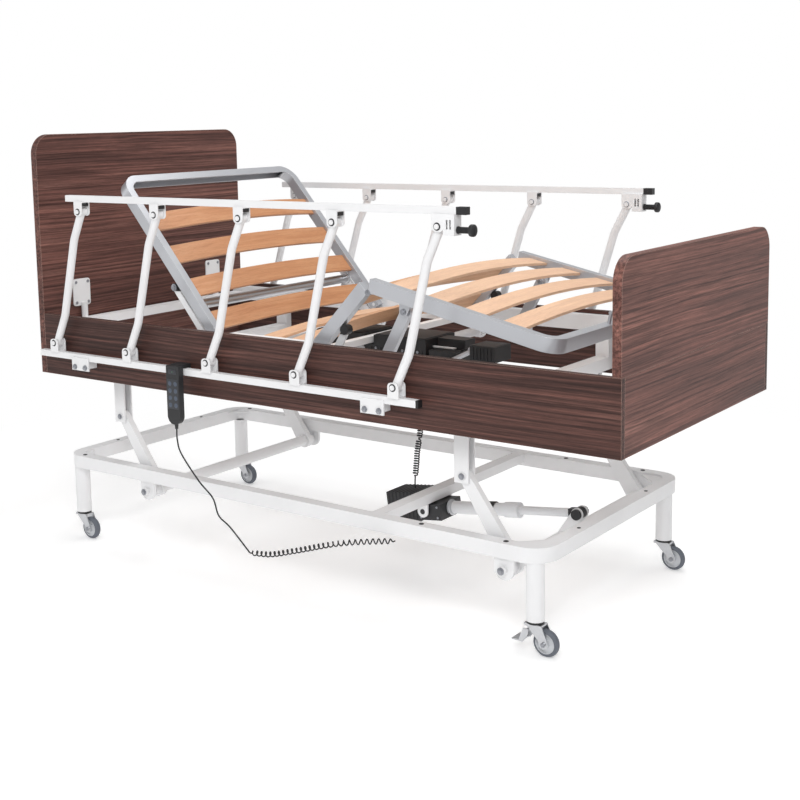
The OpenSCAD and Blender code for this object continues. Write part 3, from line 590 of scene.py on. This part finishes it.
for name in ("base_frame", "head_lift_arms", "foot_lift_arms", "deck_frame", "board_mount_plates"):
    paint(name, WHITE)
paint("back_lift_lever", powder("white_back_lever", COAT, [("Z", 0.8835)]))
# Painted shade: the knee lever's coat is a darker copy of the same white, for a part that sits in
# shade under the deck.
paint("knee_lift_lever", powder("white_knee_lever_painted_shade", srgb(214, 215, 217), [("Z", 0.8020)]))
low_rail = powder("white_rail_low", COAT, [("X", 0.4925), ("Z", 0.645)])
top_rails = {"right": powder("white_rail_right", COAT, [("X", 0.6255), ("Z", 1.1605)]),
             "left": powder("white_rail_left", COAT, [("X", 0.6517), ("Z", 1.1507)])}
for side in ("right", "left"):
    paint(f"side_rail_base_{side}", low_rail)
    paint(f"top_rail_{side}", top_rails[side])
    paint(f"latch_pin_{side}", BLACK)
    for i in POSTS:
        paint(f"{side}_post_{i}", WHITE)
for name in ("backrest_frame", "thigh_frame", "leg_frame", "leg_support_links", "drive_stay"):
    paint(name, SILVER)
for name in ("twin_drive", "control_box", "handset"):
    paint(name, BLACK)
paint("lift_actuator", actuator_material("lift_drive", (0.0645, 0.3050)))
paint("lift_actuator_rod", actuator_material("lift_rod", (0.0, 0.462)))
for i in KEYS:
    paint(f"button_{i}", KEY)
paint("handset_cord", CABLE)
paint("brake_pedal", ZINC)
for corner in CORNERS:
    wheel = "caster_wheel_" + corner
    paint("caster_fork_" + corner, ZINC)
    paint(wheel, wheel_material(f"wheel_{corner}_rubber", wheel))
# The brightness factors per board (0.80 to 1.16) are painted light and shade: every board is the
# same laminate.
paint("head_board", walnut("walnut_head", 1, 1.02, 3.1))
paint("foot_board", walnut("walnut_foot", 1, 1.16, 7.7))
paint("foot_apron", walnut("walnut_apron", 1, 1.14, 5.3))
paint("side_panel_right", walnut("walnut_right", 0, 0.84, 1.9))
paint("side_panel_left", walnut("walnut_left", 0, 0.80, 9.2))
# The last argument is painted light and shade per section: painted shade on the raised backrest
# slats, painted light on the seat, thigh and leg slats.
paint("backrest_slats", beech("beech_back", math.radians(49.5), -0.323, 0.7525, -0.42))
paint("seat_slats", beech("beech_seat", 0.0, 0.0, 0.745, 0.35))
paint("thigh_slats", beech("beech_thigh", math.radians(-46.5), 0.065, 0.750, 0.25))
paint("leg_slats", beech("beech_leg", math.radians(12.0), 0.262, 0.928, 0.45))


# ---------- side rails: bent posts, bolts, latches ----------

POST = [(0.0, 0.0), (44.0, 93.0), (105.5, 341.0), (148.0, 433.0)]  # centreline, x and z in mm
POST_BEND = 0.11
POST_RADIUS = 0.0125
LEFT_LEAN = math.radians(3.5)
BOLT_OUT = 16.6 * MM
WASHER_OUT = 0.0165
# A black ring of painted shade round each post bolt head.
PAINTED_SHADE_WASHER = [(0, 10.6), (0.9, 10.6), (1.3, 10.0), (1.3, 8.4)]
EYE = [(-12.9, 12.6), (-12.2, 13.4), (12.2, 13.4), (12.9, 12.6)]


def post_foot(side, i):
    """The lower pivot of a rail post."""
    return Vector(JOINTS[f"{side}_rail_fold" if i == 1 else f"{side}_post_{i}_fold"]["pos_m"])


def eye_bolt(eye, sign):
    """A button head on the outer side of a post's eye, and a hexagon head on the inner side."""
    out = Vector((0, BOLT_OUT * sign, 0))
    return [socket_head(eye + out, (0, sign, 0), 6.6, 4.3),
            hex_head(eye - out, (0, -sign, 0), 13.0, 3.6, 9.4)]


def latch_profile():
    """Pin, collar, spring and knob of a latch, from its tip."""
    profile = [(0, 5.2), (0.8, 5.9), (32, 5.9), (32, 9.0), (32.6, 9.8), (35.4, 9.8), (36, 8.0)]
    for k in range(10):
        h = 3.2 * k
        profile += [(37 + h, 8.4), (38.6 + h, 8.4), (38.9 + h, 6.8), (39.9 + h, 6.8)]
    return profile + [(70, 8.4), (70.4, 13.0), (71.5, 15.4), (73.5, 15.9), (79.5, 15.9),
                      (81.4, 15.2), (82.2, 12.6), (83.4, 11.6), (84.6, 9.0), (84.9, 0.05)]


for side, sign in (("right", -1), ("left", 1)):
    lean = Matrix.Rotation(0.0 if side == "right" else LEFT_LEAN, 3, "Y")
    knots = [lean @ Vector((x * MM, 0, z * MM)) for x, z in POST]
    feet = [post_foot(side, i) for i in POSTS]
    tops = [foot + knots[-1] for foot in feet]
    out = Vector((0, sign * WASHER_OUT, 0))
    for i, foot, top in zip(POSTS, feet, tops):
        tube = sweep(rounded([foot + k for k in knots], POST_BEND), POST_RADIUS, 28)
        eyes = [lathe(EYE, q, (0, 1, 0)) for q in (foot, top)]
        post = fitting(f"{side}_bent_post_{i}", [tube] + eyes, WHITE,
                       f"{side}_post_{i}_swing", "white_steel")
        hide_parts(f"{side}_post_{i}")
        fitting(f"{side}_post_{i}_lower_bolt", eye_bolt(foot, sign), BOLT, "deck", "zinc_steel")
        fitting(f"{side}_post_{i}_upper_bolt", eye_bolt(top, sign), BOLT,
                f"{side}_top_rail", "zinc_steel")

    lo, hi = metric_box(f"latch_pin_{side}")
    tip = Vector((lo.x, (lo.y + hi.y) / 2, (lo.z + hi.z) / 2))
    knob = fitting(f"{side}_latch_knob", [lathe(latch_profile(), tip, (1, 0, 0), 40)], BLACK,
                   f"{side}_latch", "black_plastic")
    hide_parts(f"latch_pin_{side}")

    # Black washers behind the outer bolt heads: painted shade, a dark ring round each head.
    fitting(f"{side}_lower_painted_shade_washers", [lathe(PAINTED_SHADE_WASHER, q + out, (0, sign, 0)) for q in feet], CABLE,
            "deck", "black_plastic")
    fitting(f"{side}_upper_painted_shade_washers", [lathe(PAINTED_SHADE_WASHER, q + out, (0, sign, 0)) for q in tops], CABLE,
            f"{side}_top_rail", "black_plastic")
    fitting(f"{side}_top_bracket_pads",
            [block(q.x + 7, q.x + 18.5, q.y - 13.4, q.y + 13.4, q.z + 17, q.z + 28, 1.6)
             for q in (top * 1000 for top in tops)], BLACK, f"{side}_top_rail", "black_plastic")
    fitting(f"{side}_clamp_bolts",
            [hex_head((clamp + dx, sign * 0.5295, 0.629), (0, sign, 0), 13.0, 5.0, 9.0)
             for clamp in (-0.819, 0.352) for dx in (-0.024, 0.024)], BOLT, "deck", "zinc_steel")


# ---------- cords ----------

CORD = [(-379.5, -540.5, 488), (-378, -541, 450), (-362, -542, 410), (-292, -544, 338),
        (-234, -546, 294), (-212, -546, 244), (-168, -544, 214), (-98, -540, 150)]
COILED = [(-98, -540, 150), (-20, -536, 158), (70, -530, 184), (224, -512, 230),
          (352, -432, 238)]
cord = piece("handset_coiled_cord",
             *join([sweep(spline(CORD, 12), 0.0024, 10),
                    sweep(coil(spline(COILED, 12), 0.0072, 0.0165), 0.0020, 8)]),
             CABLE, "deck", "black_cable")
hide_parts("handset_cord")
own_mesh(cord)

LEAD_COILS = [[(229, -100, 598), (228, -100, 560), (218, -101, 500), (208, -100, 440)],
              [(208, -100, 440), (200, -100, 400), (196, -100, 360), (191, -100, 320)]]
LEAD_END = [(191, -100, 320), (190, -100, 305), (190, -100, 298), (192, -100, 284)]
lead = piece("lift_drive_coiled_lead",
             *join([sweep(coil(spline(k, 10), 0.0078, 0.0078), 0.0020, 6) for k in LEAD_COILS]
                   + [sweep(spline(LEAD_END, 6), 0.0022, 8)]),
             CABLE, "base", "black_cable")
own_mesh(lead)


# ---------- drives ----------

DRIVE_BLACK = moulded("drive_black", srgb(26, 26, 28), 0.42, 1100.0)


def on_drive(x, y, z):
    """A point given along, across and above the lift drive's axis, in millimetres."""
    above = Vector((-AXIS.z, 0, AXIS.x))
    return Vector(TAIL) + AXIS * x * MM + Vector((0, y, 0)) * MM + above * z * MM


fitting("lift_drive_ribs",
        [block(-136 + 14 * k, -130 + 14 * k, -51.5, 51.5, -34, 53.2, 1.2, on_drive)
         for k in range(8)] + [block(-140.8, -139.0, -40, 40, -26, 42, 0.8, on_drive)],
        DRIVE_BLACK, "lift_motor", "black_plastic")
SCREW = [(0, 3.4), (1.6, 3.4), (2.0, 2.6), (2.0, 1.4), (1.2, 1.3), (1.2, 0.05)]
fitting("lift_drive_screws",
        [lathe(SCREW, on_drive(x, -56.0, z), (0, -1, 0), 16) for x in (-14, 46) for z in (-20, 12)],
        BOLT, "lift_motor", "zinc_steel")
FLANGE = [(58, 22.4), (59, 23.2), (64, 23.2), (65.5, 21.0), (70, 20.2), (72, 19.2)]
fitting("lift_drive_tube_flange", [lathe(FLANGE, on_drive(0, 0, 0), AXIS, 40)], GREY,
        "lift_motor", "black_plastic")
COLLAR = [(170, 19.2), (170, 21.6), (171.2, 22.6), (218, 22.6), (219.4, 21.4), (219.4, 19.2)]
fitting("lift_drive_collar", [lathe(COLLAR, on_drive(0, 0, 0), AXIS, 40)], DRIVE_BLACK,
        "lift_motor", "black_plastic")

fitting("twin_drive_ribs",
        [block(x, x + 5, -82.0, 82.0, 648, 706, 1.5)
         for x in (-340, -296, -252, -208, -150, -92, 16, 52, 148, 178, 206)]
        + [block(x0, x1, -76, 76, 741, 744.5, 1.4) for x0, x1 in ((-196, -18), (32, 218))],
        DRIVE_BLACK, "deck", "black_plastic")
CAP = [(0, 20.4), (2.2, 20.4), (3.4, 19.2), (3.4, 13.0), (2.0, 12.2), (2.0, 0.05)]
fitting("twin_drive_caps",
        [lathe(CAP, (-0.026, out * 0.080, 0.692), (0, out, 0), 40) for out in (-1, 1)], GREY,
        "deck", "black_plastic")
CASE_SCREW = [(0, 4.2), (1.8, 4.2), (2.3, 3.2), (2.3, 1.8), (1.3, 1.6), (1.3, 0.05)]
fitting("twin_drive_screws",
        [lathe(CASE_SCREW, (x * MM, out * 0.080, z * MM), (0, out, 0), 16)
         for x in (-320, -270, -170, -120, 36, 136, 192) for z in (652, 702) for out in (-1, 1)],
        BOLT, "deck", "zinc_steel")

fitting("control_box_ribs",
        [block(234, 328, y, y + 4, 711, 713.6, 1.0) for y in (-74, -62, -50, 56, 68)]
        + [block(402, 479, -106, -24, 744.5, 747, 1.2)]
        + [block(x, x + 3, -112, -109, 704, 742, 1.0) for x in range(408, 469, 12)],
        DRIVE_BLACK, "deck", "black_plastic")

# Leads from the mains box to the double drive, to the battery box and down to the lift drive.
LEADS = [[(236, -60, 690), (214, -96, 676), (150, -98, 662), (60, -96, 668), (-20, -95, 652),
          (-90, -84, 660)],
         [(320, -40, 708), (352, -60, 722), (380, -62, 716), (400, -60, 722)],
         [(240, -72, 676), (236, -96, 640), (231, -101, 612), (229, -100, 590)]]
piece("drive_leads", *join([sweep(spline(path, 10), 0.0031, 10) for path in LEADS]), CABLE,
      "deck", "black_cable")


# ---------- handset ----------

hand_lo, hand_hi = (v * 1000 for v in metric_box("handset"))
mid_x = (hand_lo.x + hand_hi.x) / 2
face = hand_lo.y
fitting("handset_faceplate",
        [block(hand_lo.x + 4, hand_hi.x - 4, face - 0.9, face + 1.5, 548, 640, 1.0),
         block(mid_x - 16, mid_x + 16, face - 1.2, face + 1, 655, 670, 1.2)],
        moulded("faceplate", srgb(44, 46, 51), 0.42), "deck", "button_plastic")
for i in KEYS:
    lo, hi = metric_box(f"button_{i}")
    r = (hi.x - lo.x) * 500
    dished = [(0, 0.05), (0, r), (3.6, r), (4.4, r - 0.7), (5.0, r - 2.2), (4.6, 1.5), (4.6, 0.05)]
    back = ((lo.x + hi.x) / 2, hi.y, (lo.z + hi.z) / 2)
    cap = fitting(f"button_{i}_cap", [lathe(dished, back, (0, -1, 0), 28)], KEY, f"key_{i}",
                  "button_plastic")
    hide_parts(f"button_{i}")
lens = [(0, 2.4), (0.8, 2.4), (1.3, 1.6), (1.5, 0.05)]
piece("handset_lamp", *lathe(lens, (mid_x * MM, (face - 0.2) * MM, 0.6625), (0, -1, 0), 16),
      moulded("lamp_lens", srgb(50, 96, 66), 0.25), "deck", "button_plastic")
sleeve = [(0, 4.6), (2, 6.2), (10, 5.8), (14, 4.4), (18, 3.2), (19, 2.6)]
fitting("handset_strain_relief",
        [lathe(sleeve, straight(mid_x, face + 9.5, hand_lo.z + 18), (0, 0, -1), 20)], CABLE,
        "deck", "black_plastic")


# ---------- casters, base and arms ----------

SEAL = [(-2.6, 22.6), (-1.8, 23.4), (3.4, 23.4), (4.2, 22.4)]
for corner in CORNERS:
    lo, hi = metric_box("caster_wheel_" + corner)
    swivel = JOINTS["caster_swivel_" + corner]["pos_m"]
    fitting("caster_seal_" + corner,
            [lathe(SEAL, (swivel[0], swivel[1], 0.0885), (0, 0, 1), 36)], CABLE,
            "caster_" + corner, "black_plastic")
    fitting("caster_axle_nuts_" + corner, hex_pair((lo + hi) / 2, 0.0205, 9.0, 3.0, 6.8), BOLT,
            "caster_" + corner, "zinc_steel")

for joint, body in (("bed_lift", "head_arms"), ("foot_arm_swing", "foot_arms")):
    fitting(body + "_shaft_bolts", hex_pair(centreline(joint), 0.4435, 13.0, 5.0, 10.5), BOLT,
            body, "zinc_steel")
hanger = centreline("deck_level")
span = centreline("foot_arm_swing") - centreline("bed_lift")
fitting("arm_hanger_bolts",
        [head for k in (0, 1)
         for head in hex_pair(hanger + Vector((span.x * k, 0, 0)), 0.3960, 12.0, 4.4, 9.0)],
        BOLT, "deck", "zinc_steel")

base_lo, base_hi = (v * 1000 for v in metric_box("base_frame"))
SIDE_PLUG = [(-2, 5.9), (0.3, 7.4), (1.1, 7.2), (1.6, 5.0), (1.6, 0.05)]
END_PLUG = [(-1, 4.0), (0.4, 5.6), (1.2, 5.4), (1.6, 3.4), (1.6, 0.05)]
fitting("base_tube_plugs",
        [lathe(plug, straight(x, out * y, base_hi.z), (0, 0, 1), n)
         for plug, n, y, places in ((SIDE_PLUG, 24, 415, (-950, 430, 700)),
                                    (END_PLUG, 20, 210, (base_lo.x + 20, base_hi.x - 20)))
         for x in places for out in (-1, 1)], CABLE, "base", "black_plastic")
PLATE_SCREW = [(0, 5.4), (1.2, 5.2), (2.4, 3.2), (2.4, 1.6), (1.4, 1.4), (1.4, 0.05)]
fitting("mount_plate_screws",
        [lathe(PLATE_SCREW, straight(-1032.0, y + dy, z), (1, 0, 0), 20)
         for y in (-322, 325) for dy in (-26, 26) for z in (801, 871)],
        BOLT, "deck", "zinc_steel")


# ---------- backrest lever: cross tube and roller bolts ----------

ROLLER = Vector((-0.4926, 0, 0.8959))
TUBE_PLACE = 0.72   # along the lever, from its shaft to its rollers
TUBE = [(-400.8, 14.2), (-396, 17.4), (-386, 17.4), (-385, 15.0),
        (385, 15.0), (386, 17.4), (396, 17.4), (400.8, 14.2)]
tube_at = Vector(JOINTS["back_lever_swing"]["pos_m"]).lerp(ROLLER, TUBE_PLACE)
fitting("back_lever_cross_tube", [lathe(TUBE, (tube_at.x, 0, tube_at.z), (0, 1, 0), 36)], ZINC,
        "back_lever", "zinc_steel")
fitting("back_lever_roller_bolts", hex_pair(ROLLER, 0.4170, 15.0, 5.4, 11.4), BOLT,
        "back_lever", "zinc_steel")


# ---------- pivots of the platform ----------

for joint, body, y, r in (("backrest_tilt", "deck", 0.4190, 7.6),
                          ("thigh_tilt", "deck", 0.4190, 7.6),
                          ("knee_bend", "leg", 0.4180, 5.4)):
    pin = [(0, r + 3), (1.4, r + 3), (1.8, r + 2), (1.8, r - 1.4), (4.2, r - 1.8), (4.6, r - 3),
           (4.6, 0.05)]
    q = centreline(joint)
    fitting(joint + "_pin_heads",
            [lathe(pin, (q.x, out * y, q.z), (0, out, 0), 28) for out in (-1, 1)], BOLT,
            body, "zinc_steel")
link = centreline("leg_link_swing")
fitting("leg_link_bolts",
        hex_pair(link, -0.3610, 11.0, 4.0, 9.0) + hex_pair(link, 0.3961, 11.0, 4.0, 9.0),
        BOLT, "leg", "zinc_steel")


# ---------- camera, light and floor ----------

def aim_camera():
    """The camera of the reference view, fitted to the bed's own size."""
    cam = bpy.data.objects.new("camera", bpy.data.cameras.new("camera"))
    bpy.context.scene.collection.objects.link(cam)
    yaw, pitch, roll = math.radians(127.112), math.radians(-7.722), math.radians(-1.158)
    level = math.cos(pitch)
    forward = Vector((math.cos(yaw) * level, math.sin(yaw) * level, math.sin(pitch)))
    right = Vector((math.sin(yaw), -math.cos(yaw), 0.0))
    up = right.cross(forward)
    rolled_right = math.cos(roll) * right + math.sin(roll) * up
    rolled_up = -math.sin(roll) * right + math.cos(roll) * up
    turn = Matrix((rolled_right, rolled_up, -forward)).transposed()
    cam.matrix_world = Matrix.Translation((2.4218, -3.2843, 1.4106)) @ turn.to_4x4()
    cam.data.sensor_width = 36.0
    cam.data.lens = 58.92705
    cam.data.shift_x = 0.043825
    cam.data.shift_y = -0.13205
    cam.data.clip_start = 0.05
    cam.data.clip_end = 100.0
    bpy.context.scene.camera = cam


def area_light(name, place, target, size, power):
    """A rectangular lamp that faces its target."""
    data = bpy.data.lights.new(name, "AREA")
    data.shape = "RECTANGLE"
    data.size, data.size_y = size
    data.energy = power
    o = bpy.data.objects.new(name, data)
    bpy.context.scene.collection.objects.link(o)
    o.location = place
    o.rotation_mode = "QUATERNION"
    o.rotation_quaternion = (Vector(target) - Vector(place)).to_track_quat("-Z", "Y")


def surroundings():
    """White to the camera, and dimmer to everything else."""
    world = bpy.data.worlds.new("studio")
    bpy.context.scene.world = world
    world.use_nodes = True
    nt = world.node_tree
    background = nt.nodes["Background"]
    background.inputs[0].default_value = (1.0, 1.0, 1.0, 1.0)
    path = nt.nodes.new("ShaderNodeLightPath")
    strength = nt.nodes.new("ShaderNodeMath")
    strength.operation = "MULTIPLY_ADD"
    strength.inputs[1].default_value = 1.0 - AMBIENT
    strength.inputs[2].default_value = AMBIENT
    nt.links.new(path.outputs[0], strength.inputs[0])
    nt.links.new(strength.outputs[0], background.inputs[1])


def white_floor(half=40.0):
    """Takes the bed's soft shadow, and turns pure white away from the bed."""
    t = Tree("studio_floor")
    where = t.coords()
    haze = t.noise(where, 0.8, 2.0, 0.5)
    away = t.node("ShaderNodeVectorMath", {0: where}, out=1, operation="LENGTH")
    far = t.math("MULTIPLY", t.math("SUBTRACT", away, 1.5), 0.9, clamp=True)
    tone = t.mix(t.math("MULTIPLY", haze, 0.1), (0.90, 0.90, 0.90), (0.93, 0.93, 0.93))
    glow = t.math("ADD", FLOOR_GLOW, t.math("MULTIPLY", far, 1.0 - FLOOR_GLOW))
    t.set(Base_Color=t.mix(far, tone, (0.0, 0.0, 0.0)), Roughness=0.95, Specular_IOR_Level=0.0,
          Emission_Color=(1.0, 1.0, 1.0, 1.0), Emission_Strength=glow)
    mesh = bpy.data.meshes.new("floor")
    corners = [(-half, -half, 0), (half, -half, 0), (half, half, 0), (-half, half, 0)]
    mesh.from_pydata(corners, [], [(0, 1, 2, 3)])
    mesh.materials.append(t.mat)
    floor = bpy.data.objects.new("floor", mesh)
    bpy.context.scene.collection.objects.link(floor)


aim_camera()
surroundings()
area_light("key", (2.6, -3.8, 3.6), (0.0, 0.0, 0.6), (2.2, 2.0), 120.0)
area_light("fill", (-3.5, -3.0, 2.5), (0.0, 0.0, 0.7), (3.0, 2.5), 26.0)
area_light("top", (0.3, 0.6, 4.2), (0.0, 0.0, 0.5), (3.6, 2.6), 95.0)
white_floor()
bpy.context.scene.view_settings.view_transform = "Standard"
